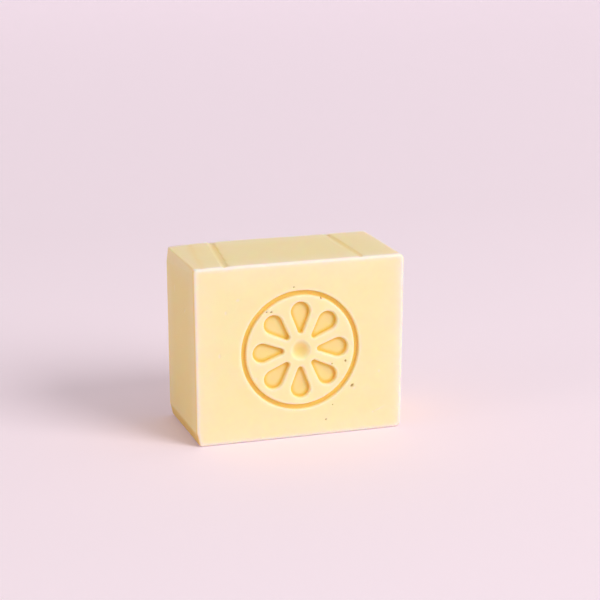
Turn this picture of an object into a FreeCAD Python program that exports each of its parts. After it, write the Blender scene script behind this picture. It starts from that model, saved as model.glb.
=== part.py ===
import FreeCAD, Part
import math
import os

# A hand-cut bar of soap, one solid piece: poured, sliced, trimmed with a knife and pressed with a stamp.
# X is the width, Y the depth with the stamped face towards -Y, and Z is up. All sizes are in millimetres.
# It stands on its long narrow face, the foot, and the origin is the middle of the foot.

# The block. Each end leans in a little from the top to the foot.
BAR_WIDTH = 60.0
BAR_DEPTH = 30.0
BAR_HEIGHT = 50.0
FOOT_INSET = 0.45

# The shaving off the lower left corner, the same from front to back
FOOT_TRIM_WIDTH = 0.8
FOOT_TRIM_HEIGHT = 4.0

# The steep shaving off the upper left corner, which grows from front to back
STEEP_TRIM_FRONT_DROP = 1.4
STEEP_TRIM_BACK_DROP = 5.1
STEEP_TRIM_BACK_WIDTH = 0.6

# The narrow panel of the top that sinks towards the left end, measured from that end
SUNK_PANEL_FRONT_WIDTH = 2.1
SUNK_PANEL_BACK_WIDTH = 7.1
SUNK_PANEL_DROP = 0.6

# Edges worn soft by handling
SHOULDER_RADIUS = 1.8
HEEL_RADIUS = 1.5
TRIM_EDGE_RADIUS = 1.0
FRONT_RIM_RADIUS = 0.8
BACK_RIM_RADIUS = 0.4

# The two creases that the liner's folds left across the top, measured from the nearer end
CREASE_RADIUS = 1.5
CREASE_DEPTH = 0.3
LEFT_CREASE_FRONT = 8.7
LEFT_CREASE_BACK = 12.6
RIGHT_CREASE_FRONT = 12.6
RIGHT_CREASE_BACK = 13.2

# The stamp: a daisy inside a ring, in the middle of the front face. Reaches are measured from its
# centre. Radii and widths are those of the recess at the mouth, before its edge is rounded.
PETAL_COUNT = 8
PETAL_DEPTH = 1.3
PETAL_ROOT_REACH = 5.6
PETAL_ROOT_RADIUS = 1.0
PETAL_TIP_REACH = 10.9
PETAL_TIP_RADIUS = 2.9
EYE_RADIUS = 2.8
EYE_DEPTH = 1.1
RING_REACH = 16.2
RING_WIDTH = 1.6
RING_DEPTH = 1.0
WALL_DRAFT_DEGREES = 17.0
STAMP_RIM_RADIUS = 0.35
STAMP_FLOOR_RADIUS = 0.25
ROUNDING_FLATS = 3

# How far a cutting shape stands clear of the block, and how near an edge lies to count as on a face
CLEAR = 2.0
CLOSE = 0.01

FRONT = -BAR_DEPTH / 2
BACK = BAR_DEPTH / 2
LEFT = -BAR_WIDTH / 2
RIGHT = BAR_WIDTH / 2
FULL_TURN = 360.0

Vector = FreeCAD.Vector


def end_inset(height):
    """How far each end has leant in at a height."""
    return FOOT_INSET * (1 - height / BAR_HEIGHT)


def block():
    """The sliced block, from its outline seen from the front, with the lower left corner shaved."""
    corners = [
        Vector(LEFT + end_inset(FOOT_TRIM_HEIGHT), FRONT, FOOT_TRIM_HEIGHT),
        Vector(LEFT + FOOT_INSET + FOOT_TRIM_WIDTH, FRONT, 0),
        Vector(RIGHT - FOOT_INSET, FRONT, 0),
        Vector(RIGHT, FRONT, BAR_HEIGHT),
        Vector(LEFT, FRONT, BAR_HEIGHT),
    ]
    outline = Part.makePolygon(corners + corners[:1])
    return Part.Face(outline).extrude(Vector(0, BAR_DEPTH, 0))


def knife_cut(solid, first, second, third, outward):
    """Slice off what lies past the flat through three points, on the side that outward points to."""
    normal = (second - first).cross(third - first)
    if normal.dot(outward) < 0:
        normal = -normal
    reach = BAR_WIDTH + BAR_DEPTH + BAR_HEIGHT
    slab = Part.makeBox(2 * reach, 2 * reach, reach, Vector(-reach, -reach, 0))
    slab.Placement = FreeCAD.Placement(first, FreeCAD.Rotation(Vector(0, 0, 1), normal))
    return solid.cut(slab)


def sink_left_panel(solid):
    """Slope the top down to the left end from the fold line, by hand and so not square."""
    front_fold = Vector(LEFT + SUNK_PANEL_FRONT_WIDTH, FRONT, BAR_HEIGHT)
    back_fold = Vector(LEFT + SUNK_PANEL_BACK_WIDTH, BACK, BAR_HEIGHT)
    sunk_corner = Vector(LEFT, BACK, BAR_HEIGHT - SUNK_PANEL_DROP)
    return knife_cut(solid, front_fold, back_fold, sunk_corner, Vector(0, 0, 1))


def shave_upper_left(solid):
    """The steep knife cut that takes more off the corner towards the back."""
    front_low = Vector(LEFT, FRONT, BAR_HEIGHT - STEEP_TRIM_FRONT_DROP)
    back_low = Vector(LEFT, BACK, BAR_HEIGHT - STEEP_TRIM_BACK_DROP)
    back_high = Vector(LEFT + STEEP_TRIM_BACK_WIDTH, BACK, BAR_HEIGHT)
    return knife_cut(solid, front_low, back_low, back_high, Vector(-1, 0, 0))


def long_edges(solid, on_right, above):
    """The edges that run from the front to the back in one quarter of the outline."""
    found = []
    for edge in solid.Edges:
        middle = edge.CenterOfMass
        runs_through = edge.BoundBox.YLength > BAR_DEPTH / 2
        if runs_through and (middle.x > 0) == on_right and (middle.z > BAR_HEIGHT / 2) == above:
            found.append(edge)
    return found


def edges_on_face(solid, face_y):
    """The edges that lie in the upright plane at one depth."""
    return [
        edge
        for edge in solid.Edges
        if edge.BoundBox.YLength < CLOSE and abs(edge.CenterOfMass.y - face_y) < CLOSE
    ]


def soften_corners(solid):
    """Round the corners that run from front to back, each by its own wear."""
    solid = solid.makeFillet(SHOULDER_RADIUS, long_edges(solid, True, True))
    solid = solid.makeFillet(HEEL_RADIUS, long_edges(solid, True, False))
    solid = solid.makeFillet(TRIM_EDGE_RADIUS, long_edges(solid, False, False))
    return solid.makeFillet(TRIM_EDGE_RADIUS, long_edges(solid, False, True))


def soften_rims(solid):
    """Round the whole outline of the front face and of the back face."""
    solid = solid.makeFillet(FRONT_RIM_RADIUS, edges_on_face(solid, FRONT))
    return solid.makeFillet(BACK_RIM_RADIUS, edges_on_face(solid, BACK))


def crease(front_x, back_x):
    """The round bead that leaves one shallow groove across the top."""
    bead_height = BAR_HEIGHT + CREASE_RADIUS - CREASE_DEPTH
    along = Vector(back_x - front_x, BAR_DEPTH, 0)
    run_out = along * (CLEAR / along.Length)
    start = Vector(front_x, FRONT, bead_height) - run_out
    return Part.makeCylinder(CREASE_RADIUS, along.Length + 2 * run_out.Length, start, along)


def press_creases(solid):
    """Both creases, each at its own slant."""
    left = crease(LEFT + LEFT_CREASE_FRONT, LEFT + LEFT_CREASE_BACK)
    right = crease(RIGHT - RIGHT_CREASE_FRONT, RIGHT - RIGHT_CREASE_BACK)
    return solid.cut([left, right])


def recess_wall(depth):
    """Outset and depth of the points down a recess's wall, from a rounded rim to a rounded floor edge.

    Each rounding turns from the flat face or floor to the drafted wall in a few small flats.
    """
    draft = math.radians(WALL_DRAFT_DEGREES)
    turn = math.pi / 2 - draft
    rim_reach = STAMP_RIM_RADIUS * math.tan(turn / 2)
    floor_reach = STAMP_FLOOR_RADIUS * math.tan(turn / 2)
    floor_outset = -depth * math.tan(draft) - floor_reach
    points = [(rim_reach, -CLEAR)]
    for step in range(ROUNDING_FLATS + 1):
        angle = turn * step / ROUNDING_FLATS
        outset = rim_reach - STAMP_RIM_RADIUS * math.sin(angle)
        points.append((outset, STAMP_RIM_RADIUS * (1 - math.cos(angle))))
    for step in range(ROUNDING_FLATS + 1):
        angle = turn * (1 - step / ROUNDING_FLATS)
        outset = floor_outset + STAMP_FLOOR_RADIUS * math.sin(angle)
        points.append((outset, depth - STAMP_FLOOR_RADIUS * (1 - math.cos(angle))))
    return points


def petal_outline(outset, depth):
    """A teardrop at a depth below the face: two round ends joined by their common tangents."""
    root_radius = PETAL_ROOT_RADIUS + outset
    tip_radius = PETAL_TIP_RADIUS + outset
    lean = math.asin((tip_radius - root_radius) / (PETAL_TIP_REACH - PETAL_ROOT_REACH))
    y = FRONT + depth
    root_x = root_radius * math.cos(lean)
    root_z = PETAL_ROOT_REACH - root_radius * math.sin(lean)
    tip_x = tip_radius * math.cos(lean)
    tip_z = PETAL_TIP_REACH - tip_radius * math.sin(lean)
    root_end = Vector(0, y, PETAL_ROOT_REACH - root_radius)
    tip_end = Vector(0, y, PETAL_TIP_REACH + tip_radius)
    return Part.Wire(
        [
            Part.LineSegment(Vector(root_x, y, root_z), Vector(tip_x, y, tip_z)).toShape(),
            Part.Arc(Vector(tip_x, y, tip_z), tip_end, Vector(-tip_x, y, tip_z)).toShape(),
            Part.LineSegment(Vector(-tip_x, y, tip_z), Vector(-root_x, y, root_z)).toShape(),
            Part.Arc(Vector(-root_x, y, root_z), root_end, Vector(root_x, y, root_z)).toShape(),
        ]
    )


def petal():
    """The tooth that presses one petal, pointing up: a stack of outlines that shrink to the floor."""
    outlines = [petal_outline(outset, depth) for outset, depth in recess_wall(PETAL_DEPTH)]
    return Part.makeLoft(outlines, True, True)


def eye():
    """The bowl in the middle of the daisy, as a slice of a ball."""
    ball_radius = (EYE_RADIUS**2 + EYE_DEPTH**2) / (2 * EYE_DEPTH)
    ball = Part.makeSphere(ball_radius)
    ball.translate(Vector(0, FRONT + EYE_DEPTH - ball_radius, 0))
    return ball


def ring():
    """The groove round the daisy, a flat-bottomed channel turned about the stamp's centre."""
    wall = recess_wall(RING_DEPTH)
    inner = [Vector(RING_REACH - RING_WIDTH / 2 - outset, FRONT + depth, 0) for outset, depth in wall]
    outer = [Vector(RING_REACH + RING_WIDTH / 2 + outset, FRONT + depth, 0) for outset, depth in wall]
    section = Part.makePolygon(inner + outer[::-1] + inner[:1])
    return Part.Face(section).revolve(Vector(0, 0, 0), Vector(0, 1, 0), FULL_TURN)


def press_stamp(solid):
    """Press the daisy and its ring into the middle of the front face."""
    teeth = [eye(), ring()]
    for number in range(PETAL_COUNT):
        turned = petal()
        turned.rotate(Vector(0, 0, 0), Vector(0, 1, 0), number * FULL_TURN / PETAL_COUNT)
        teeth.append(turned)
    for tooth in teeth:
        tooth.translate(Vector(0, 0, BAR_HEIGHT / 2))
    return solid.cut(teeth)


def soap_bar():
    """The finished bar."""
    bar = block()
    bar = shave_upper_left(bar)
    bar = soften_corners(bar)
    bar = soften_rims(bar)
    bar = sink_left_panel(bar)
    bar = press_creases(bar)
    bar = press_stamp(bar)
    return bar.Solids[0]


os.makedirs("parts", exist_ok=True)
finished = soap_bar()
finished.exportStep("parts/soap_bar.step")
print("soap_bar valid", finished.isValid(), "volume mm3", finished.Volume, finished.BoundBox)
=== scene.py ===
import math
from collections import namedtuple

import bmesh
import bpy
from mathutils import Matrix, Vector, noise
from mathutils.kdtree import KDTree


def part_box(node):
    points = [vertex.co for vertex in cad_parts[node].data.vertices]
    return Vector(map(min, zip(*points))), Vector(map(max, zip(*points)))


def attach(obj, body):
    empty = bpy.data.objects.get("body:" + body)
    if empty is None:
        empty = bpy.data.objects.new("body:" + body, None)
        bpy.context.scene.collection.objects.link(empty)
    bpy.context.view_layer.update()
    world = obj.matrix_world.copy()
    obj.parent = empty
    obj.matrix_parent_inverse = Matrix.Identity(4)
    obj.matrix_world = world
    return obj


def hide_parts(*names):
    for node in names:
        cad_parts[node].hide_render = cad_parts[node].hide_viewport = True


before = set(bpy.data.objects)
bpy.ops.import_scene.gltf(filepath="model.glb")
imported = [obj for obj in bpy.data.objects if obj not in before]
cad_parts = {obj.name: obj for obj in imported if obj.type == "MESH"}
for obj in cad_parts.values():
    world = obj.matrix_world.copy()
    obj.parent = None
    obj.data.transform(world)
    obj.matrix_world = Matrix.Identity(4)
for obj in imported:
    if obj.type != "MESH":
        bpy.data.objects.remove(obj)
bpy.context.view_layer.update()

# A hand-cut bar of soap with a pressed daisy, on a pale paper sweep.
# The bar's form comes from the CAD solid. Here its surface gets the softness and unevenness of real soap.
# Blender works in metres. Sizes that belong to the soap's surface are written in millimetres.
MM = 0.001

# Where things are on the bar, read from the frame
LOW_CORNER, HIGH_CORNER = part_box("soap_bar")
LEFT, FRONT, FOOT = (value / MM for value in LOW_CORNER)
RIGHT, BACK, TOP = (value / MM for value in HIGH_CORNER)
STAMP_CENTRE = Vector((0, FRONT, (FOOT + TOP) / 2))
RING_OUTER_REACH = 17.3
STAMP_DEPTH = 1.3

# The mesh: welding distance, what counts as flat, the pitch of the even grid, and where the grid is finer
WELD = 0.001
FLAT_ANGLE = math.radians(0.2)
GRID_PITCH = 0.8
GRID_SNAP = 0.15
FINE_REACH = 18.5
FINE_EDGE = 0.6

# Unevenness of the hand-cut faces: depth of the waves and their length
LONG_WAVE_DEPTH = 0.06
LONG_WAVE_LENGTH = 16.0
SHORT_WAVE_DEPTH = 0.015
SHORT_WAVE_LENGTH = 5.0
FACE_ROOM = 0.06
FOOT_CALM = 3.0

# The soap that the stamp squeezed up round its ring
SWELL_HEIGHT = 0.05
SWELL_WIDTH = 1.6
SWELL_SINK = 2.0

# Small marks of the skin. Across and up are measured from the middle of the foot, along the face that a mark
# is on. Then come its half length, half width and slant in degrees, how deep it sinks, and its kind:
# a pit is an air hole, darkened brown as painted shade, and a pale mark is a dry scuff or a chip.
Mark = namedtuple("Mark", "face across up half_length half_width slant sink kind")
MARKS = (
    Mark("front", 14.9, 13.5, 0.66, 0.38, 35, 0.50, "pit"),
    Mark("front", 5.8, 39.2, 0.38, 0.32, 0, 0.35, "pit"),
    Mark("front", -2.0, 42.9, 0.28, 0.24, 0, 0.25, "pit"),
    Mark("front", -9.7, 36.5, 0.30, 0.24, 0, 0.25, "pit"),
    Mark("front", -8.4, 36.4, 0.36, 0.28, 15, 0.35, "pit"),
    Mark("front", -10.8, 27.5, 0.26, 0.22, 0, 0.20, "pit"),
    Mark("front", 12.9, 20.8, 0.28, 0.42, 0, 0.30, "pit"),
    Mark("front", 9.0, 20.3, 0.26, 0.28, 0, 0.20, "pit"),
    Mark("front", 7.3, 4.4, 0.34, 0.26, 20, 0.25, "pit"),
    Mark("front", 9.2, 8.5, 0.24, 0.22, 0, 0.12, "pit"),
    Mark("front", 15.5, 12.7, 0.60, 0.34, 35, 0.03, "pale"),
    Mark("front", -17.8, 40.5, 0.70, 0.45, 10, 0.06, "pale"),
    Mark("front", -21.2, 37.2, 0.40, 0.70, 0, 0.06, "pale"),
    Mark("front", -23.0, 25.3, 0.40, 0.80, 0, 0.05, "pale"),
    Mark("front", -12.8, 18.0, 0.60, 0.60, 0, 0.05, "pale"),
    Mark("front", 22.8, 17.0, 0.50, 0.60, 0, 0.06, "pale"),
    Mark("front", 22.9, 6.0, 1.90, 0.30, 20, 0.08, "pale"),
    Mark("front", 21.1, 5.3, 0.45, 0.40, 0, 0.08, "pale"),
    Mark("left", -4.3, 35.9, 0.60, 0.60, 0, 0.15, "pale"),
    Mark("left", 5.6, 12.1, 0.25, 1.30, 0, 0.12, "pale"),
    Mark("left", 6.0, 39.7, 0.35, 1.40, 0, 0.06, "pale"),
)
MARK_REACH = 1.3
MARK_EDGE = 0.22
PALE_MARK_STRENGTH = 0.6

# Soft dips along the folds of the top: the sunk panel's, then the two creases'. Each has its place across the
# bar at the front and at the back, its depth, and how far it reaches to its left and to its right.
Dip = namedtuple("Dip", "front back depth left_reach right_reach")
TOP_DIPS = (
    Dip(-27.6, -23.6, 0.16, 1.0, 1.0),
    Dip(-21.3, -17.4, 0.18, 0.6, 1.5),
    Dip(17.4, 16.8, 0.15, 0.8, 0.9),
)

# The round-bottomed creases of the CAD form, which the soft dips take the place of
CREASES = TOP_DIPS[1:]
CREASE_RADIUS = 1.5
CREASE_DEPTH = 0.3
CREASE_FILL = 0.85

# How far from a crease or the upper left edge the surface is rounded further, and in how many rounds
SOFT_REACH = 2.2
SOFT_MARGIN = 1.0
CREASE_ROUNDS = 4
UPPER_EDGE_ROUNDS = 5

# How a rim or a hollow is told from a flat: by how far the surface bends away within a reach
BEND_REACH = 1.3
RIM_BEND_START = 0.03
RIM_BEND_FULL = 0.17
HOLLOW_BEND_START = 0.01
HOLLOW_BEND_FULL = 0.20

# Painted highlight, paler where light catches or glows through the soap: its rims, less so the stamp's, a border
# along the edges, the right end and the back edge of the top
RIM_HIGHLIGHT = 0.85
STAMP_RIM_SHARE = 0.4
BORDER_WIDTH = 9.0
BORDER_PALENESS = 0.2
LIT_END_WIDTH = 3.5
LIT_END_HIGHLIGHT = 0.65
BACK_EDGE_WIDTH = 1.9
BACK_EDGE_HIGHLIGHT = 0.8

# Painted shade, a golden tint: hollows, the stamp's floor, the left end, the steep upper cut, the foot's under-cut,
# and the rims and dips in shade; on the top and the right end the tint stands for warmer light
STAMP_HOLLOW_SHADE = 0.5
HOLLOW_SHADE = 0.2
SUNK_SHADE = 0.36
LEFT_END_SHADE = 0.44
TOP_AND_RIGHT_LIGHT_TINT = 0.22
UPPER_CUT_SHADE = 0.3
SHADED_RIM_GOLD = 0.35
DIP_SHADE = 1.1
FOOT_SHADE_GOLD = 0.5
FOOT_SHADE_BROWN = 0.32
FOOT_CUT_HEIGHT = 4.4

# Colours of the soap and the paper. The golden and the brown are painted shade; the pale one is painted highlight
# and, in the scuffs, the soap's own colour
PASTE_WARM = "#FDE6B3"
PASTE_LIGHT = "#FDE9BB"
SHADE_GOLDEN = "#F6CA3E"
HIGHLIGHT_AND_SCUFF_PALE = "#FFE9DC"
SHADE_BROWN = "#B8902F"
PAPER_PINK = "#FAEBF6"

# Sizes in the soap's skin and paste: clouds of colour, fine grain, and how far light goes in
CLOUD_SIZE = 6.0
GRAIN_SIZE = 0.7
GRAIN_DEPTH = 0.02
SCATTER_LENGTH = 1.8

# The light: a lamp 2.4 m off, and the air. The paper's lift, by the distance behind the bar in metres
LAMP_AZIMUTH = 39
LAMP_ELEVATION = 32
LAMP_DISTANCE = 2.4
LAMP_SIZE = 1.5
LAMP_WATTS = 37.4
LAMP_COLOUR = (1.0, 0.985, 0.96)
FILL_AZIMUTH = -78
FILL_ELEVATION = 18
FILL_DISTANCE = 1.6
FILL_SIZE = 0.8
FILL_WATTS = 2.8
FILL_COLOUR = (1.0, 0.93, 0.82)
CEILING_AZIMUTH = 60
CEILING_ELEVATION = 78
CEILING_DISTANCE = 1.8
CEILING_SIZE = 1.2
CEILING_WATTS = 1.8
CEILING_COLOUR = (1.0, 0.93, 0.84)
AIR_COLOUR = (1.0, 0.98, 0.965)
AIR_STRENGTH = 0.465
LIFT_START = 0.25
LIFT_END = 1.1
LIFT_NEAR = 0.025
LIFT_FAR = 0.20

# The camera, fitted to the photograph: place and aim in metres, lens on a 36 mm wide sensor
CAMERA_PLACE = Vector((-0.1529, -0.4841, 0.1710))
CAMERA_AIM = Vector((0.2989, 0.9187, -0.2581))
CAMERA_ROLL = math.radians(0.03)
CAMERA_LENS = 113.2
SENSOR_WIDTH = 36.0


def linear(hex_colour):
    """An sRGB hex colour as linear red, green, blue and alpha."""
    channels = [int(hex_colour[start:start + 2], 16) / 255 for start in (1, 3, 5)]
    return [c / 12.92 if c <= 0.04045 else ((c + 0.055) / 1.055) ** 2.4 for c in channels] + [1.0]


def add_node(tree, kind, settings=None, inputs=None):
    """Add one shader node, set its properties, and set or link its inputs."""
    node = tree.nodes.new(kind)
    for name, value in (settings or {}).items():
        setattr(node, name, value)
    for name, value in (inputs or {}).items():
        if isinstance(value, bpy.types.NodeSocket):
            tree.links.new(value, node.inputs[name])
        else:
            node.inputs[name].default_value = value
    return node


def new_material(name):
    """A material with an empty node tree and its output node."""
    material = bpy.data.materials.new(name)
    material.use_nodes = True
    material.node_tree.nodes.clear()
    return material, add_node(material.node_tree, "ShaderNodeOutputMaterial")


def ease(value, start, end):
    """A smooth step from 0 at the start to 1 at the end."""
    share = min(max((value - start) / (end - start), 0.0), 1.0)
    return share * share * (3 - 2 * share)


def wave(place, depth, length, seed):
    """A smooth random vector, each part between plus and minus depth, at a place in millimetres."""
    return depth * noise.noise_vector(place / length + Vector((seed, seed, seed)))


def triangulate(bm):
    """Turn every face into triangles of an even shape."""
    bmesh.ops.triangulate(bm, faces=bm.faces, quad_method="BEAUTY", ngon_method="BEAUTY")


def flats_to_grid(bm):
    """Join the flat faces' loose triangles, then cut the whole bar along an even grid."""
    bmesh.ops.remove_doubles(bm, verts=bm.verts, dist=WELD * MM)
    bmesh.ops.dissolve_limit(bm, angle_limit=FLAT_ANGLE, verts=bm.verts, edges=bm.edges)
    for axis, (low, high) in enumerate(((LEFT, RIGHT), (FRONT, BACK), (FOOT, TOP))):
        normal = Vector((axis == 0, axis == 1, axis == 2))
        steps = int((high - low) / GRID_PITCH)
        for step in range(1, steps):
            place = normal * (low + (high - low) * step / steps) * MM
            geometry = bm.verts[:] + bm.edges[:] + bm.faces[:]
            bmesh.ops.bisect_plane(bm, geom=geometry, dist=GRID_SNAP * MM, plane_co=place, plane_no=normal)
    triangulate(bm)


def refine(bm, centres, reach, longest, rounds):
    """Halve the edges that are longer than a limit near some places, a few times over."""
    for _ in range(rounds):
        near = [
            edge for edge in bm.edges
            if edge.calc_length() > longest * MM
            and any((edge.verts[0].co / MM - centre).length < reach for centre in centres)
        ]
        bmesh.ops.subdivide_edges(bm, edges=near, cuts=1, use_grid_fill=True)
        triangulate(bm)


def mark_place(mark):
    """The middle of a mark, in millimetres."""
    if mark.face == "front":
        return Vector((mark.across, FRONT, mark.up))
    return Vector((LEFT, mark.across, mark.up))


def mark_share(place, mark):
    """How far inside a mark a place is: 1 in its middle, 0 at its rim, below 0 outside."""
    away = place - mark_place(mark)
    right, inward = (away.x, away.y) if mark.face == "front" else (away.y, away.x)
    if inward > 2 * STAMP_DEPTH:
        return -1.0
    turn = math.radians(mark.slant)
    along = (right * math.cos(turn) + away.z * math.sin(turn)) / mark.half_length
    beside = (away.z * math.cos(turn) - right * math.sin(turn)) / mark.half_width
    return 1 - along * along - beside * beside


def press_marks(bm):
    """Sink the pits and scuffs into the skin, and store their colours: painted shade in the pits, pale for the
    scuffs.
    """
    pale_layer = bm.verts.layers.float["pale"]
    shade_brown_layer = bm.verts.layers.float["shade_brown"]
    for vert in bm.verts:
        place = vert.co / MM
        for mark in MARKS:
            share = mark_share(place, mark)
            if share <= 0:
                continue
            axis = 1 if mark.face == "front" else 0
            if mark.kind == "pit":
                vert.co[axis] += mark.sink * math.sqrt(share) * MM
                # Painted shade: the pit is darkened brown
                vert[shade_brown_layer] = max(vert[shade_brown_layer], share)
            else:
                vert.co[axis] += mark.sink * share * MM
                vert[pale_layer] = max(vert[pale_layer], PALE_MARK_STRENGTH * ease(share, 0.0, 1.0))


def away_from(place, dip):
    """How far to the right of a dip's line a place is."""
    along = (place.y - FRONT) / (BACK - FRONT)
    return place.x - (dip.front + (dip.back - dip.front) * along)


def top_dip(place):
    """How deep the top dips along its folds at a place."""
    depth = 0.0
    for dip in TOP_DIPS:
        away = away_from(place, dip)
        reach = dip.right_reach if away > 0 else dip.left_reach
        depth += dip.depth * math.exp(-((away / reach) ** 2))
    return depth * ease(place.z, TOP - 2, TOP - 1)


def crease_fill(place):
    """How far the bottom of a CAD crease is lifted at a place."""
    lift = 0.0
    for crease in CREASES:
        away = min(abs(away_from(place, crease)), CREASE_RADIUS)
        lift += max(math.sqrt(CREASE_RADIUS ** 2 - away ** 2) - CREASE_RADIUS + CREASE_DEPTH, 0.0)
    return CREASE_FILL * lift * ease(place.z, TOP - 2, TOP - 1)


def near_upper_edge(place):
    """Whether a place is on the top's left edge or on the steep cut beside it, behind the front rim."""
    return place.x < LEFT + SOFT_REACH and place.z > TOP - SOFT_REACH and place.y > FRONT + SOFT_MARGIN


def soften(bm):
    """Round the creases and the upper left edge further, as handling does."""
    creases = []
    upper_edge = []
    for vert in bm.verts:
        place = vert.co / MM
        if not FRONT + SOFT_MARGIN < place.y < BACK - SOFT_MARGIN:
            continue
        if near_upper_edge(place):
            upper_edge.append(vert)
        elif place.z > TOP - 1 and min(abs(away_from(place, dip)) for dip in TOP_DIPS) < SOFT_REACH:
            creases.append(vert)
    for _ in range(CREASE_ROUNDS):
        bmesh.ops.smooth_vert(bm, verts=creases, factor=0.5, use_axis_z=True)
    for _ in range(UPPER_EDGE_ROUNDS):
        bmesh.ops.smooth_vert(bm, verts=upper_edge, factor=0.5, use_axis_x=True, use_axis_z=True)


def hand_cut(bm):
    """Bend the whole form a little, as one smooth field, inside the CAD box. The foot stays flat."""
    middle = Vector(((LEFT + RIGHT) / 2, (FRONT + BACK) / 2, FOOT))
    half = Vector(((RIGHT - LEFT) / 2, (BACK - FRONT) / 2, TOP - FOOT))
    for vert in bm.verts:
        place = vert.co / MM
        move = Vector([-FACE_ROOM * (place[i] - middle[i]) / half[i] for i in range(3)])
        move += wave(place, LONG_WAVE_DEPTH, LONG_WAVE_LENGTH, 1)
        move += wave(place, SHORT_WAVE_DEPTH, SHORT_WAVE_LENGTH, 7)
        reach = math.hypot(place.x - STAMP_CENTRE.x, place.z - STAMP_CENTRE.z)
        swell = SWELL_HEIGHT * math.exp(-(((reach - RING_OUTER_REACH) / SWELL_WIDTH) ** 2))
        move.y -= swell * (1 - ease(place.y, FRONT, FRONT + SWELL_SINK))
        move.z *= ease(place.z, FOOT, FOOT + FOOT_CALM)
        move.z += crease_fill(place) - top_dip(place)
        moved = place + move
        for axis, (low, high) in enumerate(((LEFT, RIGHT), (FRONT, BACK), (FOOT, TOP))):
            moved[axis] = min(max(moved[axis], low), high)
        vert.co = moved * MM


def surface_bend(bm):
    """How far the surface round each vertex stands above its tangent plane, as a share of the reach.

    Plus is a hollow, minus is a rim.
    """
    tree = KDTree(len(bm.faces))
    areas = []
    for face in bm.faces:
        tree.insert(face.calc_center_median(), len(areas))
        areas.append(face.calc_area())
    tree.balance()
    bends = []
    for vert in bm.verts:
        height = 0.0
        weight = 0.0
        for centre, index, _ in tree.find_range(vert.co, BEND_REACH * MM):
            height += areas[index] * (centre - vert.co).dot(vert.normal)
            weight += areas[index]
        bends.append(height / weight / (BEND_REACH * MM) if weight else 0.0)
    return bends


def paint_skin(bm):
    """Store at each vertex, for its material, the painted highlights (pale) and the painted shade (golden and brown).
    """
    bm.normal_update()
    bends = surface_bend(bm)
    pale_layer = bm.verts.layers.float.new("pale")
    shade_gold_layer = bm.verts.layers.float.new("shade_gold")
    shade_brown_layer = bm.verts.layers.float.new("shade_brown")
    for vert, bend in zip(bm.verts, bends):
        place = vert.co / MM
        normal = vert.normal
        margins = sorted((
            place.x - LEFT, RIGHT - place.x, place.y - FRONT, BACK - place.y, place.z - FOOT, TOP - place.z,
        ))
        in_stamp = (place - STAMP_CENTRE).length < RING_OUTER_REACH + 1
        rim = ease(-bend, RIM_BEND_START, RIM_BEND_FULL)
        if in_stamp:
            rim *= STAMP_RIM_SHARE
        elif near_upper_edge(place):
            rim = 0.0
        hollow = ease(bend, HOLLOW_BEND_START, HOLLOW_BEND_FULL)
        shaded = ease(-normal.x, 0.6, 0.95)
        upper_cut = ease(normal.z, 0.03, 0.09) * ease(-normal.x, 0.9, 0.98)
        under_cut = ease(-normal.z, 0.03, 0.15) * ease(-normal.x, 0.5, 0.9)
        under_cut *= 1 - ease(place.z, FOOT_CUT_HEIGHT - 2, FOOT_CUT_HEIGHT)
        back_edge = (1 - ease(BACK - place.y, 0.0, BACK_EDGE_WIDTH)) * ease(normal.z, 0.2, 0.6)

        # Painted highlight: pale on rims that catch the light, a paler border for light glowing through the edges,
        # the right end's front where light from the right comes round, and the top's back edge
        pale = RIM_HIGHLIGHT * rim * (1 - shaded)
        pale += BORDER_PALENESS * (1 - ease(margins[1], 0.0, BORDER_WIDTH))
        pale += LIT_END_HIGHLIGHT * (1 - ease(RIGHT - place.x, 0.0, LIT_END_WIDTH)) * ease(-normal.y, 0.2, 0.8)
        pale += BACK_EDGE_HIGHLIGHT * back_edge
        # Painted shade: the stamp's recess is tinted golden, more in its hollows and towards its floor
        if in_stamp:
            shade_gold = STAMP_HOLLOW_SHADE * hollow + SUNK_SHADE * ease(place.y - FRONT, 0.2, STAMP_DEPTH)
        else:
            # Painted shade: golden in hollows, on rims that face away from the light, and in the top's dips and
            # creases
            shade_gold = HOLLOW_SHADE * hollow + SHADED_RIM_GOLD * rim * shaded + DIP_SHADE * top_dip(place)
            # Painted shade on the shaded left end, and a painted warm light tint on the top and the right end
            shade_gold += LEFT_END_SHADE * max(-normal.x, 0.0) * (1 - upper_cut) + TOP_AND_RIGHT_LIGHT_TINT * max(normal.x, normal.z, 0.0)
            # Painted shade on the steep upper cut and on the foot's under-cut, which faces down towards the floor
            shade_gold += UPPER_CUT_SHADE * upper_cut + FOOT_SHADE_GOLD * under_cut
        vert[pale_layer] = min(pale, 1.0)
        vert[shade_gold_layer] = min(shade_gold, 1.0)
        # Painted shade: the foot's under-cut is darkened brown as well
        vert[shade_brown_layer] = FOOT_SHADE_BROWN * under_cut


def make_soap_bar(material):
    """The visible bar: the CAD form, evenly meshed and worn by hand."""
    bm = bmesh.new()
    bm.from_mesh(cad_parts["soap_bar"].data)
    flats_to_grid(bm)
    refine(bm, [STAMP_CENTRE], FINE_REACH, FINE_EDGE, 1)
    hand_cut(bm)
    soften(bm)
    paint_skin(bm)
    refine(bm, [mark_place(mark) for mark in MARKS], MARK_REACH, MARK_EDGE, 3)
    press_marks(bm)
    for face in bm.faces:
        face.smooth = True
    mesh = bpy.data.meshes.new("soap_body")
    bm.to_mesh(mesh)
    bm.free()
    mesh.materials.append(material)
    soap = bpy.data.objects.new("soap_body", mesh)
    bpy.context.scene.collection.objects.link(soap)
    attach(soap, "root")
    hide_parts("soap_bar")
    return soap


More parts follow.
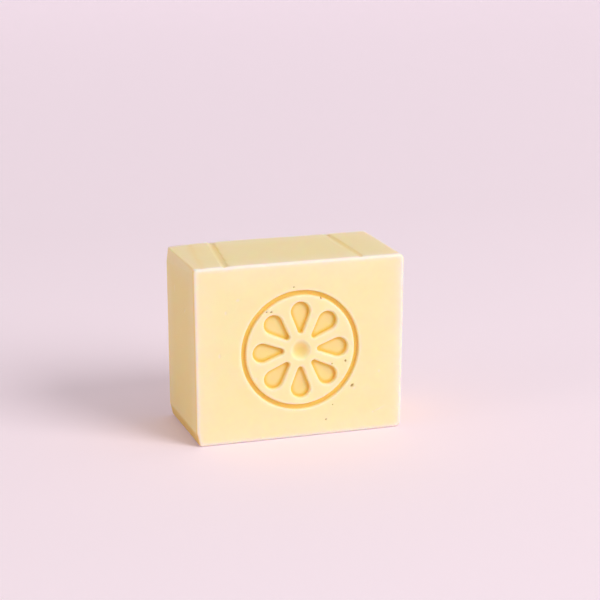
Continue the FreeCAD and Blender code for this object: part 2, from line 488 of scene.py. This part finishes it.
def cured_soap():
    """Cold-process soap, poured, sliced and cured: dense, waxy and a little translucent.

    Light goes a millimetre or two in, so edges glow. The skin is satin. Its colour carries painted highlights,
    paler along the edges, and painted shade, golden in the hollows.
    """
    material, output = new_material("cured_cold_process_soap")
    tree = material.node_tree
    place = add_node(tree, "ShaderNodeTexCoord").outputs["Object"]
    pale, shade_gold, shade_brown = (
        add_node(tree, "ShaderNodeAttribute", {"attribute_name": name}).outputs["Fac"]
        for name in ("pale", "shade_gold", "shade_brown")
    )
    clouds = add_node(tree, "ShaderNodeTexNoise", None, {
        "Vector": place, "Scale": 1 / (CLOUD_SIZE * MM), "Detail": 3.0, "Roughness": 0.55,
    }).outputs["Fac"]
    colour = linear(PASTE_WARM)
    # Mixed in: clouds of the paste's own tone, painted shade in golden and brown, and pale for painted highlights and
    # the real scuffs
    for share, tint in ((clouds, PASTE_LIGHT), (shade_gold, SHADE_GOLDEN), (pale, HIGHLIGHT_AND_SCUFF_PALE), (shade_brown, SHADE_BROWN)):
        mixed = add_node(tree, "ShaderNodeMix", {"data_type": "RGBA"}, {0: share, 6: colour, 7: linear(tint)})
        colour = mixed.outputs[2]
    grain = add_node(tree, "ShaderNodeTexNoise", None, {
        "Vector": place, "Scale": 1 / (GRAIN_SIZE * MM), "Detail": 4.0, "Roughness": 0.6,
    }).outputs["Fac"]
    relief = add_node(tree, "ShaderNodeBump", None, {
        "Strength": 0.5, "Distance": GRAIN_DEPTH * MM, "Height": grain,
    }).outputs["Normal"]
    skin = add_node(tree, "ShaderNodeBsdfPrincipled", {"subsurface_method": "RANDOM_WALK"}, {
        "Base Color": colour,
        "Roughness": 0.5,
        "IOR": 1.46,
        "Subsurface Weight": 1.0,
        "Subsurface Radius": (1.0, 0.6, 0.3),
        "Subsurface Scale": SCATTER_LENGTH * MM,
        "Normal": relief,
    })
    tree.links.new(skin.outputs["BSDF"], output.inputs["Surface"])
    return material


def paper_sweep():
    """Matt lilac-pink backdrop paper: no shine and no texture that shows at this distance.

    What the camera sees is lifted a little, and more with distance, to the pale even ground of the photograph.
    """
    material, output = new_material("matt_pink_paper")
    tree = material.node_tree
    skin = add_node(tree, "ShaderNodeBsdfPrincipled", None, {
        "Base Color": linear(PAPER_PINK),
        "Roughness": 0.95,
        "Specular IOR Level": 0.1,
    }).outputs["BSDF"]
    place = add_node(tree, "ShaderNodeTexCoord").outputs["Object"]
    back = add_node(tree, "ShaderNodeSeparateXYZ", None, {"Vector": place}).outputs["Y"]
    lift = add_node(tree, "ShaderNodeMapRange", None, {
        "Value": back, "From Min": LIFT_START, "From Max": LIFT_END, "To Min": LIFT_NEAR, "To Max": LIFT_FAR,
    }).outputs["Result"]
    rays = add_node(tree, "ShaderNodeLightPath")
    seen = rays.outputs["Is Camera Ray"]
    for name in ("Is Glossy Ray", "Is Transmission Ray"):
        seen = add_node(tree, "ShaderNodeMath", {"operation": "MAXIMUM"}, {0: seen, 1: rays.outputs[name]}).outputs[0]
    strength = add_node(tree, "ShaderNodeMath", {"operation": "MULTIPLY"}, {0: seen, 1: lift}).outputs[0]
    glow = add_node(tree, "ShaderNodeEmission", None, {
        "Color": linear(PAPER_PINK), "Strength": strength,
    }).outputs["Emission"]
    both = add_node(tree, "ShaderNodeAddShader", None, {0: skin, 1: glow}).outputs["Shader"]
    tree.links.new(both, output.inputs["Surface"])
    return material


def make_floor():
    """The paper sweep: a floor that curves up into a backdrop well behind the bar."""
    bm = bmesh.new()
    half_width, front_edge, bend_start, bend_radius, wall_height = 2.2, -1.4, 1.4, 0.6, 1.8
    bend_steps = 24
    profile = [Vector((0, front_edge, 0)), Vector((0, bend_start, 0))]
    for step in range(1, bend_steps + 1):
        angle = math.pi / 2 * step / bend_steps
        profile.append(Vector((0, bend_start + bend_radius * math.sin(angle), bend_radius * (1 - math.cos(angle)))))
    profile.append(Vector((0, bend_start + bend_radius, bend_radius + wall_height)))
    verts = [bm.verts.new(point - Vector((half_width, 0, 0))) for point in profile]
    edges = [bm.edges.new(pair) for pair in zip(verts, verts[1:])]
    swept = bmesh.ops.extrude_edge_only(bm, edges=edges)
    moved = [item for item in swept["geom"] if isinstance(item, bmesh.types.BMVert)]
    bmesh.ops.translate(bm, verts=moved, vec=(2 * half_width, 0, 0))
    bmesh.ops.recalc_face_normals(bm, faces=bm.faces)
    for face in bm.faces:
        face.smooth = True
    mesh = bpy.data.meshes.new("paper_floor")
    bm.to_mesh(mesh)
    bm.free()
    mesh.materials.append(paper_sweep())
    floor = bpy.data.objects.new("paper_floor", mesh)
    bpy.context.scene.collection.objects.link(floor)
    return floor


def aim(thing, place, direction, roll=0.0):
    """Put a camera or lamp at a place, looking along a direction."""
    turn = direction.to_track_quat("-Z", "Y").to_matrix().to_4x4()
    thing.matrix_world = Matrix.Translation(place) @ turn @ Matrix.Rotation(roll, 4, "Z")


def make_lamp(name, azimuth, elevation, distance, size, watts, colour):
    """A round soft lamp that looks at the bar. Azimuth runs from the front towards the right, in degrees."""
    round_angle = math.radians(azimuth)
    rise_angle = math.radians(elevation)
    towards = Vector((
        math.sin(round_angle) * math.cos(rise_angle),
        -math.cos(round_angle) * math.cos(rise_angle),
        math.sin(rise_angle),
    ))
    lamp = bpy.data.lights.new(name, "AREA")
    lamp.shape = "DISK"
    lamp.size = size
    lamp.energy = watts
    lamp.color = colour
    holder = bpy.data.objects.new(name, lamp)
    bpy.context.scene.collection.objects.link(holder)
    aim(holder, towards * distance, -towards)


def make_lights():
    """A broad window-like lamp at the front right, weak warm light from the left and above, and even air."""
    make_lamp("window_lamp", LAMP_AZIMUTH, LAMP_ELEVATION, LAMP_DISTANCE, LAMP_SIZE, LAMP_WATTS, LAMP_COLOUR)
    make_lamp("reflector", FILL_AZIMUTH, FILL_ELEVATION, FILL_DISTANCE, FILL_SIZE, FILL_WATTS, FILL_COLOUR)
    make_lamp(
        "ceiling", CEILING_AZIMUTH, CEILING_ELEVATION, CEILING_DISTANCE, CEILING_SIZE, CEILING_WATTS, CEILING_COLOUR,
    )
    world = bpy.data.worlds.new("studio_air")
    bpy.context.scene.world = world
    world.use_nodes = True
    background = world.node_tree.nodes["Background"]
    background.inputs["Color"].default_value = (*AIR_COLOUR, 1.0)
    background.inputs["Strength"].default_value = AIR_STRENGTH


def make_camera():
    """The photograph's camera."""
    camera = bpy.data.cameras.new("photo_camera")
    camera.lens = CAMERA_LENS
    camera.sensor_width = SENSOR_WIDTH
    camera.clip_start = 0.01
    holder = bpy.data.objects.new("photo_camera", camera)
    bpy.context.scene.collection.objects.link(holder)
    aim(holder, CAMERA_PLACE, CAMERA_AIM, CAMERA_ROLL)
    bpy.context.scene.camera = holder


make_soap_bar(cured_soap())
make_floor()
make_lights()
make_camera()
bpy.context.scene.view_settings.view_transform = "Standard"
